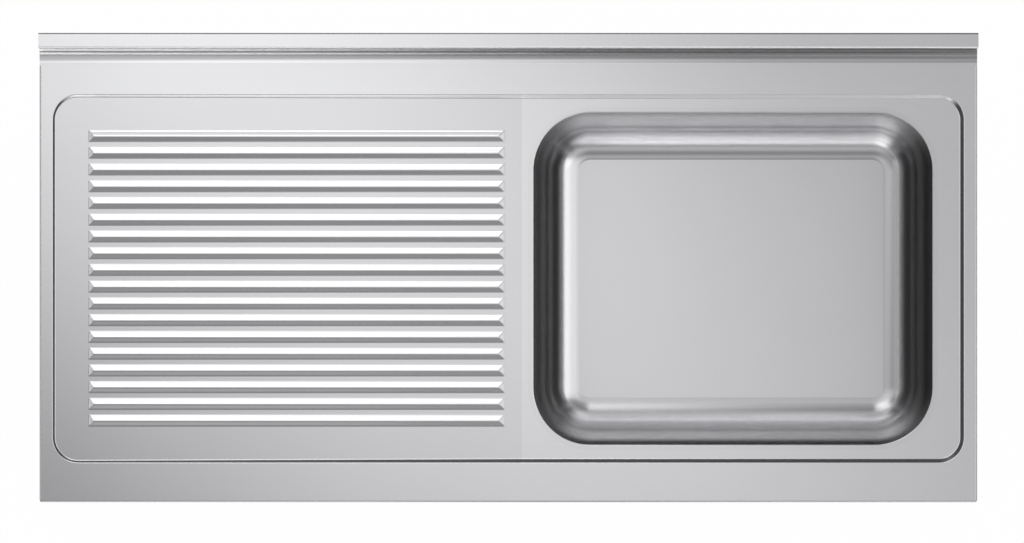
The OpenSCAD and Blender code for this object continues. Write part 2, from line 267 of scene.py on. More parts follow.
def baked(obj: Object) -> Object:
    """Replaces an object's mesh by its evaluated one and takes its modifiers off.

    Args:
        obj: object with live modifiers.

    Returns:
        The same object with a plain mesh.
    """
    graph = bpy.context.evaluated_depsgraph_get()
    graph.update()
    mesh = bpy.data.meshes.new_from_object(obj.evaluated_get(graph), depsgraph=graph)
    mesh.name = obj.name
    obj.modifiers.clear()
    old, obj.data = obj.data, mesh
    bpy.data.meshes.remove(old)
    return obj


def thicken(obj: Object, thickness: float) -> None:
    """Grows a sheet behind an open surface.

    Args:
        obj: object with the surface, which gets the closed sheet.
        thickness: thickness of the sheet in millimetres.
    """
    solid = obj.modifiers.new("sheet", "SOLIDIFY")
    solid.thickness = thickness * MM
    solid.offset = -1.0
    solid.use_even_offset = True
    solid.use_quality_normals = True
    baked(obj)


def new_tree(name: str, inputs: dict[str, str]) -> tuple[Tree, Any]:
    """Makes a geometry tree with named inputs.

    Args:
        name: name of the tree.
        inputs: kind of socket of each input after the geometry, by its name.

    Returns:
        The tree and the sockets that its inputs come out of.
    """
    tree = bpy.data.node_groups.new(name, "GeometryNodeTree")
    for label, kind in {"Geometry": "Geometry", **inputs}.items():
        tree.interface.new_socket(label, in_out="INPUT", socket_type=f"NodeSocket{kind}")
    tree.interface.new_socket("Geometry", in_out="OUTPUT", socket_type="NodeSocketGeometry")
    return tree, tree.nodes.new("NodeGroupInput").outputs


def finish_tree(tree: Tree, shape: Socket, material: Socket) -> None:
    """Ends a geometry tree in Realize Instances, Set Material and its output.

    Args:
        tree: the geometry tree.
        shape: the geometry so far.
        material: the tree's material input.
    """
    real = first_output(tree, "GeometryNodeRealizeInstances", {0: shape})
    inputs = {"Geometry": real, "Material": material}
    dressed = first_output(tree, "GeometryNodeSetMaterial", inputs)
    add_node(tree, "NodeGroupOutput", {0: dressed})


def grown(name: str, mesh: Mesh, tree: Tree, values: dict[str, Any]) -> Object:
    """Makes an object that a geometry tree grows from a mesh.

    Args:
        name: name of the object.
        mesh: mesh that goes into the tree.
        tree: the geometry tree.
        values: values of the tree's inputs by name.

    Returns:
        The object with a plain mesh.
    """
    obj = new_object(name, mesh)
    modifier = obj.modifiers.new("shape", "NODES")
    modifier.node_group = tree
    for item in tree.interface.items_tree:
        if item.name in values:
            modifier[item.identifier] = values[item.name]
    return baked(obj)


def attach(
    obj: Object, material: Optional[Material], node: str, degrees: float = 32.0
) -> Object:
    """Shades a finished piece, gives it its material and body, and hides the CAD node it replaces.

    Args:
        obj: the piece, with a plain mesh.
        material: its only material, or None if the mesh already has it.
        node: the CAD node that it replaces.
        degrees: angle above which its edges stay sharp.

    Returns:
        The piece.
    """
    sharpen(obj.data, degrees)
    if material is not None:
        obj.data.materials.clear()
        obj.data.materials.append(material)
    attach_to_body(obj, BODY)
    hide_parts(node)
    LOG.info("%s: %d faces", obj.name, len(obj.data.polygons))
    return obj


class Side(Enum):
    """End of the top on which a sheet or plate lies."""

    LEFT = -1
    RIGHT = 1


# Finishes


@dataclass(frozen=True)
class WallTone:
    """Painted light and shade: the steel's tone is made lighter or darker where it leans one way.

    The change counts where the surface heads along the axis: to side 1 or -1, or to both
    where side is 0, and only where it looks up. It grows with the heading, starts at one slope
    and is full at the next, both as sines. With an end level, the painted level leads to it
    between two places along Z or X. The grazing tint is painted as well: it darkens or lightens
    what shows at a low angle, and is full at the second place. Nothing changes above the ceiling.
    """

    axis: str
    side: int
    start: float
    # painted level: below 1 paints shade, above 1 paints light
    full: float
    tone: float
    end_tone: Optional[float] = None
    reach: Pair = (-60.0, 32.0)
    # painted grazing tint on the reflection
    graze: float = 1.0
    along: str = "Z"
    ceiling: Optional[float] = None


@dataclass(frozen=True)
class PolishedSteel:
    """Austenitic stainless sheet, polished with fine abrasive belts to a satin.

    The belt leaves fine parallel lines along X, so reflections stay soft, are drawn out a
    little across the lines, and the tone wavers slightly from line to line.
    """

    name: str
    tint: str
    roughness: float = 0.26
    line_mm: float = 1.2
    line_length_mm: float = 40.0
    contrast: float = 0.012
    roughness_swing: float = 0.006
    anisotropy: float = 0.2
    bump_mm: float = 0.0002
    cloud_mm: float = 260.0
    cloud_contrast: float = 0.01
    # painted light and shade by slope
    walls: tuple[WallTone, ...] = ()
    # painted shade on the lowered pan and its ribs
    pan_tone: float = 1.0

    def build(self) -> Material:
        """Makes the material.

        Returns:
            The material, in Object coordinates.
        """
        material = bpy.data.materials.new(self.name)
        tree = empty_tree(material)
        place = add_node(tree, "ShaderNodeTexCoord").outputs
        across = 1 / (self.line_mm * MM)
        scale = (1 / (self.line_length_mm * MM), across, across)
        inputs: dict[str, Any] = {"Vector": place["Object"], "Scale": scale}
        lines = noise(tree, first_output(tree, "ShaderNodeMapping", inputs), 1.0, 3.0, 0.6)
        clouds = noise(tree, place["Object"], 1 / (self.cloud_mm * MM), 2.0, 0.5)
        line_tone = self._waver(tree, lines, 1.0, self.contrast)
        cloud_tone = self._waver(tree, clouds, 1.0, self.cloud_contrast)
        tone = maths(tree, "MULTIPLY", line_tone, cloud_tone)
        inputs = {"Metallic": 1.0, "Anisotropic": self.anisotropy}
        # paints light and shade into the tone by slope, with a painted grazing tint
        if self.walls:
            tone, graze = self._wall_tone(tree, place, tone)
            if isinstance(graze, Socket):
                inputs["Specular Tint"] = graze
        # paints shade on the lowered pan and its ribs
        if self.pan_tone != 1.0:
            pan = add_node(tree, "ShaderNodeAttribute", attribute_name=PAN).outputs["Fac"]
            tone = maths(tree, "MULTIPLY", tone, ramp(tree, pan, (0.0, 1.0), (1.0, self.pan_tone)))
        tinted = {0: linear(self.tint)[:3], "Scale": tone}
        inputs["Base Color"] = first_output(tree, "ShaderNodeVectorMath", tinted, operation="SCALE")
        inputs["Roughness"] = self._waver(tree, lines, self.roughness, self.roughness_swing)
        inputs["Normal"] = relief(tree, lines, self.bump_mm)
        inputs["Tangent"] = first_output(tree, "ShaderNodeCombineXYZ", {"X": 1.0})
        shade(tree, inputs)
        return material

    @staticmethod
    def _waver(tree: Tree, source: Socket, middle: float, swing: float) -> Socket:
        """Lets a value swing about its middle with a noise."""
        return ramp(tree, source, NOISE_REACH, (middle - swing, middle + swing), smooth=False)

    def _wall_tone(self, tree: Tree, place: Any, tone: Socket) -> tuple[Socket, Term]:
        """Paints light and shade into the tone where the steel stands steep.

        Args:
            tree: the material's tree.
            place: outputs of its texture coordinate node.
            tone: the tone so far.

        Returns:
            The tone with its painted light and shade, and the painted grazing tint.
        """
        level = vector_maths(tree, "MULTIPLY", place["Normal"], (1.0, 1.0, 0.0))[0]
        slope = vector_maths(tree, "LENGTH", level)["Value"]
        heading = vector_maths(tree, "NORMALIZE", level)[0]
        facing, where, normal = (
            add_node(tree, "ShaderNodeSeparateXYZ", {0: source}).outputs
            for source in (heading, place["Object"], place["Normal"])
        )
        upward = ramp(tree, normal["Z"], LOOKS_UP, (0.0, 1.0))
        graze: Term = 1.0
        for wall in self.walls:
            steep = ramp(tree, slope, (wall.start, wall.full), (0.0, 1.0))
            share = maths(tree, "MULTIPLY", steep, upward)
            if wall.ceiling is not None:
                end = ((wall.ceiling - 1) * MM, wall.ceiling * MM)
                share = maths(tree, "MULTIPLY", share, ramp(tree, where["Z"], end, (1.0, 0.0)))
            towards = facing[wall.axis]
            if wall.side:
                towards = maths(tree, "MULTIPLY", towards, float(wall.side), clamp=True)
            share = maths(tree, "MULTIPLY", maths(tree, "MULTIPLY", towards, towards), share)
            reach = (wall.reach[0] * MM, wall.reach[1] * MM)
            change: Term = wall.tone - 1
            if wall.end_tone is not None:
                change = ramp(tree, where[wall.along], reach, (change, wall.end_tone - 1))
            # painted light and shade for this slope
            factor = maths(tree, "MULTIPLY_ADD", change, share, 1.0)
            tone = maths(tree, "MULTIPLY", tone, factor)
            # painted grazing tint, darker or lighter at low angles
            if wall.graze != 1.0:
                tint = ramp(tree, where["Z"], reach, (0.0, wall.graze - 1))
                factor = maths(tree, "MULTIPLY_ADD", tint, share, 1.0)
                graze = maths(tree, "MULTIPLY", graze, factor)
        return tone, graze


@dataclass(frozen=True)
class SpeckledFinish:
    """Dull finish with a fine speckle: mill plate, pressed fibre board or bitumen felt.

    A mill or fibre surface scatters light and carries small light and dark marks of one size.
    """

    name: str
    dark: str
    light: str
    roughness: float
    metallic: float
    speckle_mm: float
    bump_mm: float
    marks: Pair = (0.35, 0.65)

    def build(self) -> Material:
        """Makes the material.

        Returns:
            The material, in Object coordinates.
        """
        material = bpy.data.materials.new(self.name)
        tree = empty_tree(material)
        place = add_node(tree, "ShaderNodeTexCoord").outputs["Object"]
        speckle = noise(tree, place, 1 / (self.speckle_mm * MM), 4.0, 0.65)
        colour = add_node(tree, "ShaderNodeValToRGB", {"Fac": speckle})
        stops = zip(colour.color_ramp.elements, self.marks, (self.dark, self.light))
        for stop, position, code in stops:
            stop.position = position
            stop.color = linear(code)
        inputs = {"Metallic": self.metallic, "Roughness": self.roughness}
        inputs |= {"Base Color": colour.outputs[0], "Normal": relief(tree, speckle, self.bump_mm)}
        shade(tree, inputs)
        return material


# Painted light and shade on the walls of the lowered panel and on the flanks of the ribs
STEP_TONES = (
    WallTone("Y", 1, 0.48, 0.64, 0.22),
    WallTone("X", 0, 0.54, 0.68, 0.35),
    WallTone("X", 0, 0.86, 0.97, 2.86),
)
# Painted light and shade on the face, foot and brow of the upstand and the vertical face behind it,
# the foot painted darker towards the bowl end
BACK_TONES = (
    WallTone("Y", 1, 0.05, 0.35, 0.25),
    WallTone("Y", 1, 0.90, 0.99, 4.0),
    WallTone("Y", -1, 0.05, 0.30, 1.25, 1.6, (70.0, 125.0)),
    WallTone("Y", -1, 0.46, 0.60, 0.5, 1.0, (70.0, 125.0)),
    WallTone("Y", -1, 0.80, 0.90, 2.0, 1.0, (70.0, 125.0)),
    WallTone("Y", -1, 0.02, 0.12, 1.45, 0.57, (-640.0, 450.0), along="X", ceiling=90.0),
)
# Painted light and shade on the coves and walls of the bowl: both ends, left, right, front and wall
# side, with painted shade under the mouth
BOWL_TONES = (
    WallTone("X", 0, 0.60, 0.72, 0.2),
    WallTone("X", 0, 0.86, 0.96, 1.7, 0.05, (-240.0, -40.0), 0.15),
    WallTone("X", 1, 0.02, 0.15, 1.2),
    WallTone("X", 1, 0.46, 0.56, 1.4),
    WallTone("X", -1, 0.02, 0.12, 0.64),
    WallTone("X", -1, 0.46, 0.60, 2.7),
    WallTone("Y", 1, 0.02, 0.09, 0.87),
    WallTone("Y", 1, 0.22, 0.34, 0.9),
    WallTone("Y", 1, 0.42, 0.54, 1.8),
    WallTone("Y", 1, 0.56, 0.72, 1.4, 0.9, (-220.0, -60.0)),
    WallTone("Y", 1, 0.45, 0.75, 1.0, 0.05, (-90.0, 5.0), 0.15),
    WallTone("Y", -1, 0.02, 0.09, 0.52),
    WallTone("Y", -1, 0.12, 0.20, 1.5),
    WallTone("Y", -1, 0.27, 0.45, 2.4),
    WallTone("Y", -1, 0.38, 0.66, 1.05, 0.48),
)

FINISHES: dict[str, Union[PolishedSteel, SpeckledFinish]] = {
    # Belted along the length before pressing: long soft streaks of light, painted light and shade
    # on the panel walls and rib flanks, and painted shade on the pan
    "drainer_steel": PolishedSteel(
        "stainless_drainer_satin_belted", "BCBCBD", walls=STEP_TONES, pan_tone=0.93
    ),
    # The same sheet without the ribs: an even satin round the bowl, with painted light and shade on
    # the panel walls
    "deck_steel": PolishedSteel("stainless_deck_satin_belted", "BCBCBD", walls=STEP_TONES),
    # The same sheet folded up: painted light and shade by slope, the foot painted darker towards
    # the bowl end
    "upstand_steel": PolishedSteel("stainless_upstand_satin_belted", "BCBCBD", walls=BACK_TONES),
    # Polished by hand after drawing: short strokes with no direction, painted light and shade on
    # coves and walls, and painted shade on the steep ends
    "bowl_steel": PolishedSteel(
        "stainless_bowl_drawn_satin",
        "BABABB",
        line_length_mm=3.0,
        line_mm=1.5,
        anisotropy=0.0,
        walls=BOWL_TONES,
    ),
    # As rolled: grey and dull, with a fine mottle
    "mill_steel": SpeckledFinish(
        "stainless_cold_rolled_mill", "9B9C9F", "B4B5B8", 0.42, 1.0, 3.0, 0.01
    ),
    # Pickled after cutting: lighter, rougher and more matt
    "bracket_steel": SpeckledFinish(
        "stainless_plate_pickled", "A3A4A6", "BEBFC1", 0.50, 1.0, 1.6, 0.03
    ),
    # Pressed fibres in oil: brown with darker flecks
    "hardboard": SpeckledFinish(
        "hardboard_oil_tempered", "4B3524", "6A4C33", 0.62, 0.0, 2.2, 0.05
    ),
    # Felt in bitumen: nearly black, matt and grainy
    "damping_pad": SpeckledFinish(
        "bitumen_felt_pressed", "18181A", "2B2B2E", 0.85, 0.0, 1.5, 0.12
    ),
}


# Sheet surfaces


@dataclass(frozen=True)
class Station:
    """Place on a contour with the direction that points away from the sheet's middle."""

    x: float
    y: float
    out_x: float
    out_y: float

    def at(self, inset: float, z: float) -> Vector:
        """Point inside the contour by an inset, at a height, in millimetres."""
        return Vector((self.x - self.out_x * inset, self.y - self.out_y * inset, z))


def rows_along(path: Sequence[Station], section: Section) -> list[list[Vector]]:
    """Rows of points along a path, one for each inset and height of a section."""
    return [[place.at(inset, z) for place in path] for inset, z in section]


class Skin:
    """Open surface gathered from strips and flats, in millimetres."""

    weld = 0.01
    sliver = 0.001
    least_area = 1e-9

    def __init__(self) -> None:
        """Starts an empty surface."""
        self.points: list[Vector] = []
        self.faces: list[list[int]] = []

    def _add(self, corners: Sequence[Vector], flip: bool) -> None:
        """Adds one face.

        Args:
            corners: points round the face.
            flip: whether it is turned round.
        """
        first = len(self.points)
        self.points.extend(corners)
        face = list(range(first, first + len(corners)))
        self.faces.append(face[::-1] if flip else face)

    def strip(self, rows: Sequence[Sequence[Vector]], facing: Vector) -> None:
        """Adds quads between rows of equal length.

        Args:
            rows: rows of points across the section, each along the path.
            facing: direction that the first face looks to; all the others follow it.
        """
        a, b, c = rows[0][0], rows[0][1], rows[1][0]
        flip = (b - a).cross(c - a).dot(facing) < 0
        for low, high in zip(rows, rows[1:]):
            for i in range(len(low) - 1):
                self._add([low[i], low[i + 1], high[i + 1], high[i]], flip)

    def flat(self, outline: Sequence[Vector], holes: Sequence[Sequence[Vector]] = ()) -> None:
        """Adds a flat that looks up.

        Args:
            outline: points round the flat.
            holes: points round each hole in it.
        """
        if not holes:
            area = sum(a.x * b.y - b.x * a.y for a, b in zip(outline, [*outline[1:], outline[0]]))
            self._add(outline, area < 0)
            return
        loops = [list(outline), *[list(hole) for hole in holes]]
        points = [point for loop in loops for point in loop]
        for tri in tessellate_polygon(loops):
            corners = [points[i] for i in tri]
            normal = (corners[1] - corners[0]).cross(corners[2] - corners[0])
            if normal.length > self.least_area:
                self._add(corners, normal.z < 0)

    def to_object(self, name: str, thickness: float) -> Object:
        """Joins the surface and makes it a sheet.

        Args:
            name: name of the piece.
            thickness: thickness of the sheet in millimetres.

        Returns:
            The closed sheet.
        """
        mesh = bpy.data.meshes.new(name)
        mesh.from_pydata([point * MM for point in self.points], [], self.faces)
        with edited(mesh) as work:
            bmesh.ops.remove_doubles(work, verts=work.verts, dist=self.weld * MM)
            bmesh.ops.dissolve_degenerate(work, edges=work.edges, dist=self.sliver * MM)
        obj = new_object(name, mesh)
        thicken(obj, thickness)
        return obj


@dataclass(frozen=True)
class TopSizes:
    """Sizes that several sub-assemblies of the top share."""

    half_w: float = 700.0
    half_d: float = 350.0
    deck_z: float = 40.0
    sheet_t: float = 1.2
    fold_r: float = 2.5
    foot_fold_r: float = 2.4
    return_w: float = 15.0
    corner_r: float = 4.0
    plate_w: float = 70.0
    relief: float = 1.0
    panel_x: float = 680.5
    panel_y0: float = -291.0
    panel_y1: float = 259.0
    panel_r: float = 38.0
    panel_z: float = 34.0
    left_drop: float = 3.5
    seam_x: float = 20.0
    joint_y: float = 302.0
    bowl_x: float = 335.5
    bowl_w: float = 596.0
    bowl_d: float = 496.0
    bowl_r: float = 86.0
    bowl_flange: float = 8.0
    corner_steps: int = 24

    @property
    def panel_cy(self) -> float:
        """Middle of the lowered panel, front to back."""
        return (self.panel_y0 + self.panel_y1) / 2

    @property
    def fall(self) -> float:
        """Slope of the drainer towards the seam, in radians."""
        run = self.seam_x + self.panel_x - self.left_drop
        return math.atan2(self.deck_z - self.panel_z - self.left_drop, run)


def corner(centre: Pair, radius: float, start: float, end: float, steps: int) -> list[Station]:
    """Stations round one corner of a contour.

    Args:
        centre: centre of the corner.
        radius: radius of the corner.
        start: first angle in degrees.
        end: last angle in degrees.
        steps: number of chords.

    Returns:
        The stations, which look away from the centre.
    """
    rim = arc(centre, radius, start, end, steps)
    ways = arc((0.0, 0.0), 1.0, start, end, steps)
    return [Station(*place, *way) for place, way in zip(rim, ways)]


def round_loop(centre: Pair, w: float, d: float, r: float, steps: int) -> list[Station]:
    """Stations round a rectangle with round corners.

    Args:
        centre: middle of the rectangle.
        w: its width along X.
        d: its depth along Y.
        r: radius of its corners.
        steps: number of chords round each corner.

    Returns:
        The stations, anticlockwise from its right side.
    """
    found: list[Station] = []
    for quarter, (sx, sy) in enumerate([(1, 1), (-1, 1), (-1, -1), (1, -1)]):
        middle = (centre[0] + sx * (w / 2 - r), centre[1] + sy * (d / 2 - r))
        found += corner(middle, r, 90 * quarter, 90 * quarter + 90, steps)
    return found


@dataclass
class DeckSheet:
    """One of the two pressed sheets of the deck: flat, part of the lowered panel, and aprons."""

    side: Side
    node: str
    slot: str
    top: TopSizes = field(default_factory=TopSizes)
    crest_r: float = 1.6
    foot_r: float = 2.0
    lean: float = 45.0
    support: float = 0.5
    fold_steps: int = 10
    wall_steps: int = 6
    bend_steps: int = 8

    def panel_height(self, x: float) -> float:
        """Height of the panel at a place along the top.

        Args:
            x: the place.

        Returns:
            The height.
        """
        if self.side is Side.RIGHT:
            return self.top.panel_z
        return self.top.panel_z + (self.top.seam_x - x) * math.tan(self.top.fall)

    def rim_path(self) -> list[Station]:
        """Stations along the outer faces, from the seam round the front corner to the wall.

        Returns:
            The stations.
        """
        t, s = self.top, self.side.value
        flange_x, flange_y = t.half_w - t.plate_w, t.half_d - t.plate_w
        runs = (t.seam_x, s * flange_x, s * (flange_x + t.relief))
        middle = (s * (t.half_w - t.corner_r), -t.half_d + t.corner_r)
        bend = corner(middle, t.corner_r, 270, 270 + s * 90, self.bend_steps)
        stops = (-flange_y - t.relief, -flange_y, flange_y, flange_y + t.relief, t.joint_y)
        front = [Station(x, -t.half_d, 0, -1) for x in runs]
        return [*front, *bend, *[Station(s * t.half_w, y, s, 0) for y in stops]]

    def panel_path(self) -> list[Station]:
        """Stations along the upper edge of the panel's wall, from the seam's front to its rear.

        Returns:
            The stations.
        """
        t, s = self.top, self.side.value
        x = s * (t.panel_x - t.panel_r)
        front = corner((x, t.panel_y0 + t.panel_r), t.panel_r, 270, 270 + s * 90, t.corner_steps)
        rear_start = 0 if s > 0 else 180
        rear = corner((x, t.panel_y1 - t.panel_r), t.panel_r, rear_start, 90, t.corner_steps)
        first, last = Station(t.seam_x, t.panel_y0, 0, -1), Station(t.seam_x, t.panel_y1, 0, 1)
        return [first, *front, *rear, last]

    def aprons(self, skin: Skin) -> list[Vector]:
        """Adds the folded edge, the aprons and the flanges turned in under them.

        Args:
            skin: surface that gets them.

        Returns:
            The row of points where the fold meets the deck.
        """
        t, path = self.top, self.rim_path()
        section = [(t.fold_r + self.support, t.deck_z)]
        section += arc((t.fold_r, t.deck_z - t.fold_r), t.fold_r, 90, 180, self.fold_steps)
        foot = t.foot_fold_r
        section += [(0, t.deck_z - t.fold_r - self.support), (0, foot + self.support), (0, foot)]
        rows = rows_along(path, section)
        skin.strip(rows, UP)
        turned = arc((foot, foot), foot, 180, 270, self.wall_steps)
        turned += [(foot + self.support, 0), (t.return_w, 0)]
        plain = [(0, foot), (0, 0)]
        parts = (path[:2], path[2:-4], path[-4:-2], path[-2:])
        for part, low in zip(parts, (turned, plain, turned, plain)):
            skin.strip(rows_along(part, low), Vector((part[0].out_x, part[0].out_y, 0)))
        return rows[0]

    def panel_wall(self, skin: Skin) -> tuple[list[Vector], list[Vector]]:
        """Adds the wall between the deck and the lowered panel.

        Args:
            skin: surface that gets it.

        Returns:
            The row of points on the deck and the row on the panel.
        """
        t, path, steps = self.top, self.panel_path(), self.wall_steps
        half = math.tan(math.radians(self.lean / 2))
        crest, foot = self.crest_r * half, self.foot_r * half
        upper = [(-crest - self.support, t.deck_z)]
        middle = (-crest, t.deck_z - self.crest_r)
        upper += arc(middle, self.crest_r, 90, 90 - self.lean, steps)
        lower = arc((foot, self.foot_r), self.foot_r, 270 - self.lean, 270, steps)
        lower.append((foot + self.support, 0))
        meets = [self._wall_run(place) for place in path]
        rows = rows_along(path, upper)
        for inset, rise in lower:
            rows.append([self._on_panel(p, run + inset, rise) for p, run in zip(path, meets)])
        skin.strip(rows, UP)
        return rows[0], rows[-1]

    def _wall_run(self, place: Station) -> float:
        """Distance in from the wall's upper edge at which a wall at 45 degrees meets the panel.

        Args:
            place: station on that edge.

        Returns:
            The distance.
        """
        drop = self.top.deck_z - self.panel_height(place.x)
        deeper = self.panel_height(place.x) - self.panel_height(place.x - place.out_x)
        return drop / (1 - deeper)

    def _on_panel(self, place: Station, inset: float, rise: float) -> Vector:
        """Point over the panel at an inset from the wall's upper edge.

        Args:
            place: station on that edge.
            inset: distance in from it.
            rise: height over the panel.

        Returns:
            The point.
        """
        point = place.at(inset, 0)
        point.z = self.panel_height(point.x) + rise
        return point

    def _mark_pan(self, mesh: Mesh) -> None:
        """Marks the faces of the pan, for the painted shade that darkens it.

        Args:
            mesh: the sheet's mesh.
        """
        t, gap = self.top, self.support
        inside = [
            -t.panel_x - gap <= v.co.x / MM <= t.panel_x + gap
            and t.panel_y0 - gap <= v.co.y / MM <= t.panel_y1 + gap
            for v in mesh.vertices
        ]
        mark = mesh.attributes.new(PAN, "FLOAT", "FACE")
        shares = [float(all(inside[i] for i in face.vertices)) for face in mesh.polygons]
        mark.data.foreach_set("value", shares)

    def build(self, material: Material) -> Object:
        """Makes the closed sheet.

        Args:
            material: its finish.

        Returns:
            The finished piece.
        """
        t, skin = self.top, Skin()
        rim = self.aprons(skin)
        deck_row, panel_row = self.panel_wall(skin)
        skin.flat([*rim, Vector((t.seam_x, t.joint_y, t.deck_z)), *reversed(deck_row)])
        mouth = []
        if self.side is Side.RIGHT:
            loop = round_loop((t.bowl_x, t.panel_cy), t.bowl_w, t.bowl_d, t.bowl_r, t.corner_steps)
            mouth = rows_along(loop, [(-t.bowl_flange, t.panel_z)])
        skin.flat(panel_row, mouth)
        obj = skin.to_object(f"{self.node}_pressed", t.sheet_t)
        self._mark_pan(obj.data)
        return attach(obj, material, self.node)


@dataclass
class DrainerRibs:
    """The raised ribs of the drainer, one shell repeated by a geometry tree."""

    top: TopSizes = field(default_factory=TopSizes)
    count: int = 18
    pitch: float = 25.0
    height: float = 4.0
    rear_w: float = 8.7
    front_w: float = 7.6
    crest_w: float = 0.8
    run_left: float = 6.4
    run_right: float = 8.3
    margin_left: float = 54.5
    margin_seam: float = 26.0
    crest_blend: float = 0.9
    foot_blend: float = 1.1
    skirt: float = 0.5
    lift: float = 0.02
    edge: float = 1.2
    grid: float = 0.45

    @property
    def ends(self) -> Pair:
        """Left and right end of a rib, from the seam."""
        return -self.top.panel_x + self.margin_left - self.top.seam_x, -self.margin_seam

    def _samples(self, low: float, high: float) -> list[float]:
        """Evenly spaced values from low to high, at most a grid step apart."""
        n = max(1, math.ceil((high - low) / self.grid))
        return [low + (high - low) * i / n for i in range(n + 1)]

    @staticmethod
    def _soft_min(a: float, b: float, blend: float) -> float:
        """Smaller of two heights, rounded over where they are close."""
        h = max(blend - abs(a - b), 0.0) / blend
        return min(a, b) - h * h * blend / 4

    def rise(self, x: float, y: float) -> float:
        """Height of a rib above the panel, x along it from the seam and y across it.

        Args:
            x: place along the rib.
            y: place across it.

        Returns:
            The height.
        """
        x0, x1 = self.ends
        half = self.crest_w / 2
        rear = self.height * (self.rear_w - y) / (self.rear_w - half)
        front = self.height * (self.front_w + y) / (self.front_w - half)
        left = self.height * (x - x0) / self.run_left
        right = self.height * (x1 - x) / self.run_right
        side = self._soft_min(rear, front, self.crest_blend)
        end = self._soft_min(left, right, self.crest_blend)
        up = self._soft_min(side, end, self.crest_blend)
        up = self._soft_min(up, self.height, self.crest_blend)
        return -self._soft_min(-up, 0.0, self.foot_blend)

    def rib(self) -> Mesh:
        """Makes the mesh of one rib, closed below the panel's face.

        Returns:
            The rib's mesh, on its own centre line and with the seam at x = 0.
        """
        x0, x1 = self.ends
        edge = self.edge
        xs = self._samples(x0 - edge, x0 + self.run_left + edge)
        xs += self._samples(x1 - self.run_right - edge, x1 + edge)
        ys = self._samples(-self.front_w - edge, self.rear_w + edge)
        points = [(x, y, self.rise(x, y) + self.lift) for x in xs for y in ys]
        m, n = len(xs), len(ys)
        faces = [
            [i * n + j, (i + 1) * n + j, (i + 1) * n + j + 1, i * n + j + 1]
            for i in range(m - 1)
            for j in range(n - 1)
        ]
        border = [i * n for i in range(m)] + [(m - 1) * n + j for j in range(1, n)]
        border += [i * n + n - 1 for i in range(m - 2, -1, -1)] + list(range(n - 2, 0, -1))
        first, count = len(points), len(border)
        points += [(*points[i][:2], -self.skirt) for i in border]
        for k in range(count):
            after = (k + 1) % count
            faces.append([border[after], border[k], first + k, first + after])
        faces.append(list(range(first + count - 1, first - 1, -1)))
        mesh = bpy.data.meshes.new("rib")
        mesh.from_pydata([Vector(point) * MM for point in points], [], faces)
        with edited(mesh) as work:
            bmesh.ops.recalc_face_normals(work, faces=work.faces)
        # the ribs take the pan's painted shade too
        mark = mesh.attributes.new(PAN, "FLOAT", "FACE")
        mark.data.foreach_set("value", [1.0] * len(mesh.polygons))
        return mesh

    def tree(self) -> Tree:
        """Builds the tree that sets ribs side by side and lays them on the sloping panel.

        Returns:
            The tree.
        """
        kinds = {"Count": "Int", "Pitch": "Float", "Fall": "Rotation"}
        tree, given = new_tree("drainer_ribs", {**kinds, "Seam": "Vector", "Material": "Material"})
        count, pitch = given["Count"], given["Pitch"]
        wide = maths(tree, "MULTIPLY", count, pitch)
        first = maths(tree, "MULTIPLY", maths(tree, "SUBTRACT", pitch, wide), 0.5)
        start, step = (first_output(tree, "ShaderNodeCombineXYZ", {"Y": y}) for y in (first, pitch))
        inputs = {"Count": count, "Start Location": start, "Offset": step}
        row = first_output(tree, "GeometryNodeMeshLine", inputs, mode="OFFSET")
        inputs = {"Points": row, "Instance": given["Geometry"]}
        ribs = first_output(tree, "GeometryNodeInstanceOnPoints", inputs)
        inputs = {"Geometry": ribs, "Translation": given["Seam"], "Rotation": given["Fall"]}
        laid = first_output(tree, "GeometryNodeTransform", inputs)
        finish_tree(tree, laid, given["Material"])
        return tree

    def build(self, material: Material) -> Object:
        """Makes all the ribs as one piece.

        Args:
            material: their finish, set by the tree.

        Returns:
            The finished piece.
        """
        t = self.top
        values = {
            "Count": self.count,
            "Pitch": self.pitch * MM,
            "Fall": (0.0, t.fall, 0.0),
            "Seam": tuple(v * MM for v in (t.seam_x, t.panel_cy, t.panel_z)),
            "Material": material,
        }
        obj = grown("drainer_ribs", self.rib(), self.tree(), values)
        return attach(obj, None, "drainer_sheet")


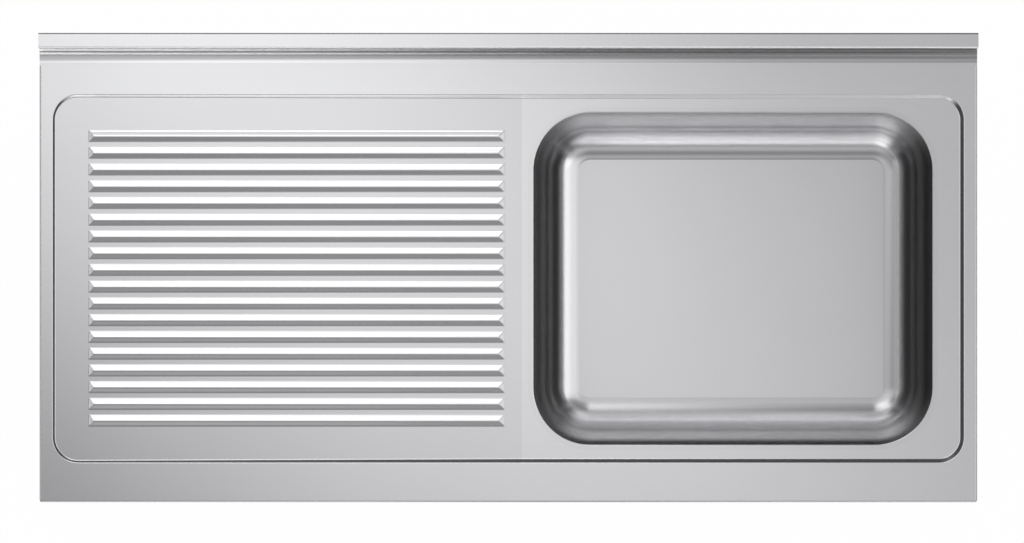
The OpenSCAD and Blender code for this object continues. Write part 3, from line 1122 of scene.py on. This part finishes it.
@dataclass
class SinkBowl:
    """Deep drawn bowl: a wall section swept round the mouth and closed by its floor."""

    top: TopSizes = field(default_factory=TopSizes)
    depth: float = 300.0
    floor_inset: float = 69.0
    cove_r: float = 54.7
    crease: float = 6.0
    crease_slack: float = 1.5
    rim_r: float = 2.0
    rim_outset: float = 1.5
    cove_steps: int = 36
    rim_steps: int = 24
    support: float = 0.5
    floor_share: float = 0.999
    weld: float = 0.02

    def section(self) -> Section:
        """Wall section as distance out from the mouth by height over the panel.

        Returns:
            The points from the flange to the floor.
        """
        rim = (self.rim_outset, -self.rim_r)
        tilt = math.radians(self.crease)
        cove_x = -self.floor_inset - self.cove_r * math.sin(tilt)
        cove_z = self.cove_r * math.cos(tilt) - self.depth
        run, fall = rim[0] - cove_x, rim[1] - cove_z
        reach = (self.cove_r + self.rim_r) / math.hypot(run, fall)
        lean = math.acos(reach) - math.atan2(fall, run)
        lean_deg = math.degrees(lean)
        points = [(self.top.bowl_flange, 0.0), (self.rim_outset + self.support, 0.0)]
        points += arc(rim, self.rim_r, 90, 180 - lean_deg, self.rim_steps)
        down = (-math.sin(lean) * self.support, -math.cos(lean) * self.support)
        points.append((points[-1][0] + down[0], points[-1][1] + down[1]))
        bend = arc((cove_x, cove_z), self.cove_r, -lean_deg, self.crease - 90, self.cove_steps)
        points.append((bend[0][0] - down[0], bend[0][1] - down[1]))
        return points + bend + [(-self.floor_inset - self.support, -self.depth)]

    def tree(self) -> Tree:
        """Builds the tree that sweeps the section round the mouth and fills the floor.

        Returns:
            The tree.
        """
        kinds = {"Length": "Float", "Width": "Float", "Corner radius": "Float"}
        kinds |= {"Corner points": "Int", "Depth": "Float", "Place": "Vector"}
        tree, given = new_tree("drawn_bowl", {**kinds, "Material": "Material"})
        inputs = {0: given["Length"], 1: given["Width"]}
        mouth = first_output(tree, "GeometryNodeCurvePrimitiveQuadrilateral", inputs)
        inputs = {"Curve": mouth, "Radius": given["Corner radius"], "Count": given["Corner points"]}
        rounded = first_output(tree, "GeometryNodeFilletCurve", inputs, mode="POLY")
        upright = first_output(tree, "GeometryNodeSetCurveNormal", {"Curve": rounded}, mode="Z_UP")
        section = first_output(tree, "GeometryNodeMeshToCurve", {"Mesh": given["Geometry"]})
        inputs = {"Curve": upright, "Profile Curve": section}
        swept = first_output(tree, "GeometryNodeCurveToMesh", inputs)
        inputs = {"Mesh": swept, "Selection": self._floor_rim(tree, given["Depth"])}
        ring = first_output(tree, "GeometryNodeMeshToCurve", inputs)
        flat = first_output(tree, "GeometryNodeFillCurve", {"Curve": ring}, mode="NGONS")
        low = maths(tree, "MULTIPLY", given["Depth"], -1.0)
        floor_at = first_output(tree, "ShaderNodeCombineXYZ", {"Z": low})
        inputs = {"Geometry": flat, "Translation": floor_at}
        floor = first_output(tree, "GeometryNodeTransform", inputs)
        joined = add_node(tree, "GeometryNodeJoinGeometry")
        for part in (swept, floor):
            tree.links.new(part, joined.inputs[0])
        inputs = {0: joined.outputs[0], "Distance": self.weld * MM}
        merged = first_output(tree, "GeometryNodeMergeByDistance", inputs)
        inputs = {"Geometry": merged, "Translation": given["Place"]}
        placed = first_output(tree, "GeometryNodeTransform", inputs)
        finish_tree(tree, placed, given["Material"])
        return tree

    def _floor_rim(self, tree: Tree, depth: Socket) -> Socket:
        """Selects the open edges at the bottom of the swept wall.

        Args:
            tree: the geometry tree.
            depth: its depth input.

        Returns:
            The selection.
        """
        place = first_output(tree, "GeometryNodeInputPosition")
        height = add_node(tree, "ShaderNodeSeparateXYZ", {0: place}).outputs["Z"]
        inputs = {0: height, 1: maths(tree, "MULTIPLY", depth, -self.floor_share)}
        kind = "FunctionNodeCompare"
        low = first_output(tree, kind, inputs, data_type="FLOAT", operation="LESS_THAN")
        inputs = {2: first_output(tree, "GeometryNodeInputMeshEdgeNeighbors"), "B": 1}
        free = first_output(tree, kind, inputs, data_type="INT", operation="EQUAL")
        return first_output(tree, "FunctionNodeBooleanMath", {0: low, 1: free}, operation="AND")

    def build(self, material: Material) -> Object:
        """Makes the bowl.

        Args:
            material: its finish, set by the tree.

        Returns:
            The finished piece, a closed sheet.
        """
        t, points = self.top, self.section()
        mesh = bpy.data.meshes.new("bowl_section")
        edges = [(i, i + 1) for i in range(len(points) - 1)]
        mesh.from_pydata([Vector((x, -y, 0)) * MM for x, y in points], edges, [])
        values = {
            "Length": t.bowl_w * MM,
            "Width": t.bowl_d * MM,
            "Corner radius": t.bowl_r * MM,
            "Corner points": t.corner_steps,
            "Depth": self.depth * MM,
            "Place": tuple(v * MM for v in (t.bowl_x, t.panel_cy, t.panel_z)),
            "Material": material,
        }
        obj = grown("sink_bowl_drawn", mesh, self.tree(), values)
        self._face_up(obj.data)
        thicken(obj, t.sheet_t)
        return attach(obj, None, "sink_bowl", self.crease - self.crease_slack)

    @staticmethod
    def _face_up(mesh: Mesh) -> None:
        """Turns the open surface so that its faces look into the bowl.

        Args:
            mesh: the surface.
        """
        with edited(mesh) as work:
            bmesh.ops.recalc_face_normals(work, faces=work.faces)
            floor = min(work.faces, key=lambda face: face.calc_center_median().z)
            if floor.normal.z < 0:
                bmesh.ops.reverse_faces(work, faces=work.faces)


@dataclass
class Upstand:
    """Folded profile along the wall side, with its end plates."""

    top: TopSizes = field(default_factory=TopSizes)
    slot: str = "upstand_steel"
    height: float = 100.0
    face_y: float = 327.0
    foot_r: float = 22.0
    brow_r: float = 3.0
    back_h: float = 25.0
    support: float = 0.5
    foot_steps: int = 24
    fold_steps: int = 10
    plate_bevel: float = 0.35
    flush: float = 0.001

    def section(self) -> Section:
        """Outer line of the folded profile, Y by Z, from the wall joint to the back fold.

        Returns:
            The points.
        """
        t, gap, face_y = self.top, self.support, self.face_y
        top_z = t.deck_z + self.height
        foot = (face_y - self.foot_r, t.deck_z + self.foot_r)
        brow = (face_y + self.brow_r, top_z - self.brow_r)
        back = (t.half_d - t.fold_r, top_z - t.fold_r)
        line = [(t.joint_y, t.deck_z), (foot[0] - gap, t.deck_z)]
        line += arc(foot, self.foot_r, -90, 0, self.foot_steps)
        line += [(face_y, foot[1] + gap), (face_y, brow[1] - gap)]
        line += arc(brow, self.brow_r, 180, 90, self.fold_steps)
        line += [(brow[0] + gap, top_z), (back[0] - gap, top_z)]
        line += arc(back, t.fold_r, 90, 0, self.fold_steps)
        return line + [(t.half_d, back[1] - gap), (t.half_d, top_z - self.back_h)]

    def build(self, material: Material) -> Object:
        """Makes the folded profile between the end plates.

        Args:
            material: its finish.

        Returns:
            The finished piece.
        """
        t, skin = self.top, Skin()
        reach = t.half_w - t.sheet_t
        rows = [[Vector((x, y, z)) for x in (-reach, reach)] for y, z in self.section()]
        skin.strip(rows, UP)
        return attach(skin.to_object("upstand_profile", t.sheet_t), material, "upstand")

    def plate(self, side: Side, material: Material) -> Object:
        """Makes the plate that closes one end of the upstand.

        Args:
            side: the end that it closes.
            material: its finish.

        Returns:
            The finished piece.
        """
        t, node = self.top, f"end_plate_{side.name.lower()}"
        outline = [(t.joint_y, 0.0), *self.section()[:-1], (t.half_d, 0.0)]
        outer, inner = side.value * t.half_w, side.value * (t.half_w - t.sheet_t)
        count = len(outline)
        points = [Vector((x, y, z)) * MM for x in (outer, inner) for y, z in outline]
        faces = [list(range(count)), list(range(2 * count - 1, count - 1, -1))]
        faces += [[i, (i + 1) % count, count + (i + 1) % count, count + i] for i in range(count)]
        mesh = bpy.data.meshes.new(f"{node}_ground")
        mesh.from_pydata(points, [], faces)
        with edited(mesh) as work:
            bmesh.ops.recalc_face_normals(work, faces=work.faces)
            bevel(
                work,
                lambda e: all(abs(v.co.x - outer * MM) < self.flush * MM for v in e.verts),
                self.plate_bevel,
            )
        return attach(new_object(mesh.name, mesh), material, node)


@dataclass
class SoftenedNode:
    """A flat or folded hidden part: its CAD solid with the edges broken as on the real part."""

    node: str
    slot: str
    edge: float
    weld: float = 0.001
    flat_deg: float = 0.5
    sharp_deg: float = 35.0

    def build(self, source: Object, material: Material) -> Object:
        """Makes the piece from a copy of the CAD node's mesh.

        Args:
            source: the CAD node's object, which stays as it is.
            material: its finish.

        Returns:
            The finished piece.
        """
        mesh = bpy.data.meshes.new(f"{self.node}_made")
        flat, sharp = math.radians(self.flat_deg), math.radians(self.sharp_deg)
        with edited(mesh, source.data) as work:
            bmesh.ops.remove_doubles(work, verts=work.verts, dist=self.weld * MM)
            bmesh.ops.dissolve_limit(
                work, angle_limit=flat, verts=work.verts, edges=work.edges, delimit={"NORMAL"}
            )
            bmesh.ops.recalc_face_normals(work, faces=work.faces)
            bevel(
                work,
                lambda e: len(e.link_faces) == 2 and e.calc_face_angle(0) > sharp,
                self.edge,
            )
        return attach(new_object(mesh.name, mesh), material, self.node)


# Studio


@dataclass(frozen=True)
class Softbox:
    """One soft lamp: a rectangle that looks at a point, as bright all over as its radiance says."""

    name: str
    place: Triple
    aim: Triple
    size: Pair
    radiance: float

    @classmethod
    def round_the_top(
        cls, name: str, azimuth: float, lean: float, size: Pair, radiance: float, far: float = 3.0
    ) -> "Softbox":
        """Makes a lamp that looks at the middle of the top from a direction.

        Args:
            name: name of the lamp.
            azimuth: direction in plan in degrees, 0 at the bowl end and 90 at the wall.
            lean: angle from straight above in degrees.
            size: width and height in metres.
            radiance: brightness of its face.
            far: distance from the middle of the top in metres.

        Returns:
            The lamp.
        """
        a, b = math.radians(azimuth), math.radians(lean)
        flat = far * math.sin(b)
        place = (flat * math.cos(a), flat * math.sin(a), far * math.cos(b))
        return cls(name, place, (0.0, 0.0, 0.0), size, radiance)

    def build(self) -> Object:
        """Makes the lamp, which the camera doesn't see.

        Returns:
            The lamp's object.
        """
        lamp = bpy.data.lights.new(self.name, "AREA")
        lamp.shape = "RECTANGLE"
        lamp.size, lamp.size_y = self.size
        lamp.energy = self.radiance * math.pi * self.size[0] * self.size[1]
        obj = bpy.data.objects.new(self.name, lamp)
        obj.location = self.place
        obj.rotation_mode = "QUATERNION"
        look = Vector(self.aim) - Vector(self.place)
        obj.rotation_quaternion = look.to_track_quat("-Z", "Y")
        obj.visible_camera = False
        bpy.context.scene.collection.objects.link(obj)
        return obj


@dataclass(frozen=True)
class GraduatedBox:
    """Large softbox over the top, brightest along a slanting band and dimmer to both sides.

    Distances run square to the band in the lamp's plane, in metres, and levels are shares of
    the band's own brightness.
    """

    name: str = "overhead_graduated_box"
    place: Triple = (0.0, 0.03, 1.3)
    size: Pair = (2.0, 1.3)
    slant: float = 43.4
    shift: float = -0.029
    front_reach: float = 1.625
    front_level: float = -1.208
    wall_reach: float = 0.685
    wall_level: float = 0.42
    radiance: float = 1.03
    along: float = -0.59
    least: float = 0.02

    def build(self) -> Object:
        """Makes the lamp, whose face is graded by the place on it.

        Returns:
            The lamp's object.
        """
        a = math.radians(self.slant)
        obj = Softbox(self.name, self.place, (*self.place[:2], 0.0), self.size, 1.0).build()
        tree = empty_tree(obj.data)
        spot = add_node(tree, "ShaderNodeNewGeometry").outputs["Position"]
        ways = ((math.cos(a), math.sin(a), 0.0), (math.sin(a), -math.cos(a), 0.0))
        across, along = (vector_maths(tree, "DOT_PRODUCT", spot, way)["Value"] for way in ways)
        front = (self.shift - self.front_reach, self.shift)
        rear = (self.shift, self.shift + self.wall_reach)
        band = maths(tree, "MULTIPLY_ADD", along, self.along, self.radiance)
        for reach, levels in ((front, (self.front_level, 1.0)), (rear, (1.0, self.wall_level))):
            band = maths(tree, "MULTIPLY", band, ramp(tree, across, reach, levels))
        strength = maths(tree, "MAXIMUM", band, self.least)
        glow = first_output(tree, "ShaderNodeEmission", {"Strength": strength})
        add_node(tree, "ShaderNodeOutputLight", {"Surface": glow})
        return obj


# The lamps of the photo's studio: a band overhead, then the sides that the walls reflect
LAMPS = (
    GraduatedBox(),
    Softbox("wall_side_strip", (-0.38, 1.4, 1.32), (-0.38, 0.0, 0.0), (1.3, 1.1), 2.4),
    Softbox.round_the_top("wall_side_box", 90.0, 30.0, (2.6, 1.0), 0.2),
    Softbox.round_the_top("wall_side_low_box", 90.0, 66.0, (2.6, 0.8), 1.8),
    Softbox.round_the_top("bowl_end_box", 0.0, 32.0, (2.4, 0.8), 0.7),
    Softbox.round_the_top("bowl_end_mid_box", 0.0, 48.0, (2.4, 0.8), 1.1),
    Softbox.round_the_top("bowl_end_low_box", 0.0, 61.0, (2.4, 0.5), 1.8),
    Softbox("front_left_box", (-0.60, -1.3, 0.50), (-0.60, 0.3, 0.0), (0.9, 0.5), 0.5),
    Softbox("front_left_horizon_box", (-0.60, -1.6, 0.10), (-0.60, 0.3, 0.05), (1.1, 0.5), 1.2),
    Softbox.round_the_top("front_box", 275.0, 46.0, (2.0, 0.7), 0.1),
    Softbox.round_the_top("front_low_right_box", 290.0, 68.0, (1.6, 0.7), 1.65),
    Softbox.round_the_top("front_horizon_box", 270.0, 84.0, (3.0, 0.5), 1.4),
    Softbox.round_the_top("drainer_end_box", 180.0, 50.0, (2.4, 0.8), 1.0),
    Softbox.round_the_top("drainer_end_low_box", 180.0, 65.0, (2.4, 0.6), 1.2),
)


@dataclass
class Studio:
    """Camera, pale floor, dim surroundings and soft lamps, all in metres."""

    camera_place: Triple = (0.0054, -0.0053, 34.02)
    lens: float = 800.0
    clip: Pair = (1.0, 120.0)
    floor_z: float = -0.2706
    floor_reach: float = 150.0
    floor_glow: float = 0.985
    sky_reach: Pair = (0.1, 0.7)
    sky_levels: Pair = (0.14, 0.46)

    def camera(self) -> Object:
        """Makes the camera that looks straight down with the wall side up.

        Returns:
            The camera's object.
        """
        data = bpy.data.cameras.new("camera_above")
        data.lens = self.lens
        data.sensor_width = 36.0
        data.clip_start, data.clip_end = self.clip
        obj = bpy.data.objects.new("camera_above", data)
        obj.location = self.camera_place
        bpy.context.scene.collection.objects.link(obj)
        bpy.context.scene.camera = obj
        return obj

    def floor(self) -> Object:
        """Makes the pale floor, white to the camera and see-through from below.

        Returns:
            The floor's object.
        """
        r, z = self.floor_reach, self.floor_z
        mesh = bpy.data.meshes.new("studio_floor")
        mesh.from_pydata([(-r, -r, z), (r, -r, z), (r, r, z), (-r, r, z)], [], [(0, 1, 2, 3)])
        obj = new_object("studio_floor", mesh)
        material = bpy.data.materials.new("studio_floor_matt_white")
        tree = empty_tree(material)
        matt = first_output(tree, "ShaderNodeBsdfDiffuse", {"Color": linear("F4F4F4")})
        white = first_output(tree, "ShaderNodeEmission", {"Strength": 1.0})
        rays = add_node(tree, "ShaderNodeLightPath").outputs
        seen = maths(tree, "MAXIMUM", rays["Is Camera Ray"], rays["Is Glossy Ray"])
        seen = maths(tree, "MAXIMUM", seen, rays["Is Transmission Ray"])
        share = maths(tree, "MULTIPLY", seen, self.floor_glow)
        lit = first_output(tree, "ShaderNodeMixShader", {0: share, 1: matt, 2: white})
        clear = first_output(tree, "ShaderNodeBsdfTransparent")
        below = add_node(tree, "ShaderNodeNewGeometry").outputs["Backfacing"]
        mixed = first_output(tree, "ShaderNodeMixShader", {0: below, 1: lit, 2: clear})
        add_node(tree, "ShaderNodeOutputMaterial", {"Surface": mixed})
        mesh.materials.append(material)
        return obj

    def surroundings(self) -> None:
        """Makes the world: dim at the horizon and brighter overhead."""
        world = bpy.data.worlds.new("studio")
        bpy.context.scene.world = world
        tree = empty_tree(world)
        place = add_node(tree, "ShaderNodeTexCoord").outputs["Generated"]
        height = add_node(tree, "ShaderNodeSeparateXYZ", {0: place}).outputs["Z"]
        level = ramp(tree, height, self.sky_reach, self.sky_levels)
        inputs = {"Color": linear("FCFCFF"), "Strength": level}
        light = first_output(tree, "ShaderNodeBackground", inputs)
        add_node(tree, "ShaderNodeOutputWorld", {"Surface": light})

    def build(self) -> None:
        """Makes the whole studio."""
        bpy.context.scene.view_settings.view_transform = "Standard"
        self.camera()
        self.floor()
        self.surroundings()
        LOG.info("studio: %d lamps", len([lamp.build() for lamp in LAMPS]))


# Nodes that the photo doesn't show, with their slot and the width of their broken edges
HIDDEN_PARTS: tuple[tuple[tuple[str, ...], str, float], ...] = (
    (("rear_rail",), "mill_steel", 0.3),
    (("front_channel", "left_channel", "seam_channel", "right_channel"), "mill_steel", 0.35),
    (("drainer_channel_left", "drainer_channel_right"), "mill_steel", 0.35),
    (("drainer_board",), "hardboard", 0.8),
    (("upstand_tie_left", "upstand_tie_middle", "upstand_tie_right"), "mill_steel", 0.3),
    (("bracket_front_left", "bracket_front_right"), "bracket_steel", 0.5),
    (("bracket_rear_left", "bracket_rear_right"), "bracket_steel", 0.5),
    (("bowl_pad_floor", "bowl_pad_left", "bowl_pad_right"), "damping_pad", 1.0),
    (("bowl_pad_front", "bowl_pad_rear"), "damping_pad", 1.0),
    (("earth_tag",), "bracket_steel", 0.3),
)


def main() -> None:
    """Builds the sub-assemblies in order and reports each piece."""
    logging.basicConfig(level=logging.INFO, format="%(name)s %(message)s")
    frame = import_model()
    finishes = {slot: finish.build() for slot, finish in FINISHES.items()}
    Studio().build()
    DeckSheet(Side.LEFT, "drainer_sheet", "drainer_steel").build(finishes["drainer_steel"])
    DeckSheet(Side.RIGHT, "bowl_sheet", "deck_steel").build(finishes["deck_steel"])
    DrainerRibs().build(finishes["drainer_steel"])
    SinkBowl().build(finishes["bowl_steel"])
    upstand = Upstand()
    upstand.build(finishes["upstand_steel"])
    for side in Side:
        upstand.plate(side, finishes["upstand_steel"])
    for nodes, slot, edge in HIDDEN_PARTS:
        for node in nodes:
            SoftenedNode(node, slot, edge).build(frame["nodes"][node], finishes[slot])


if __name__ == "__main__":
    main()
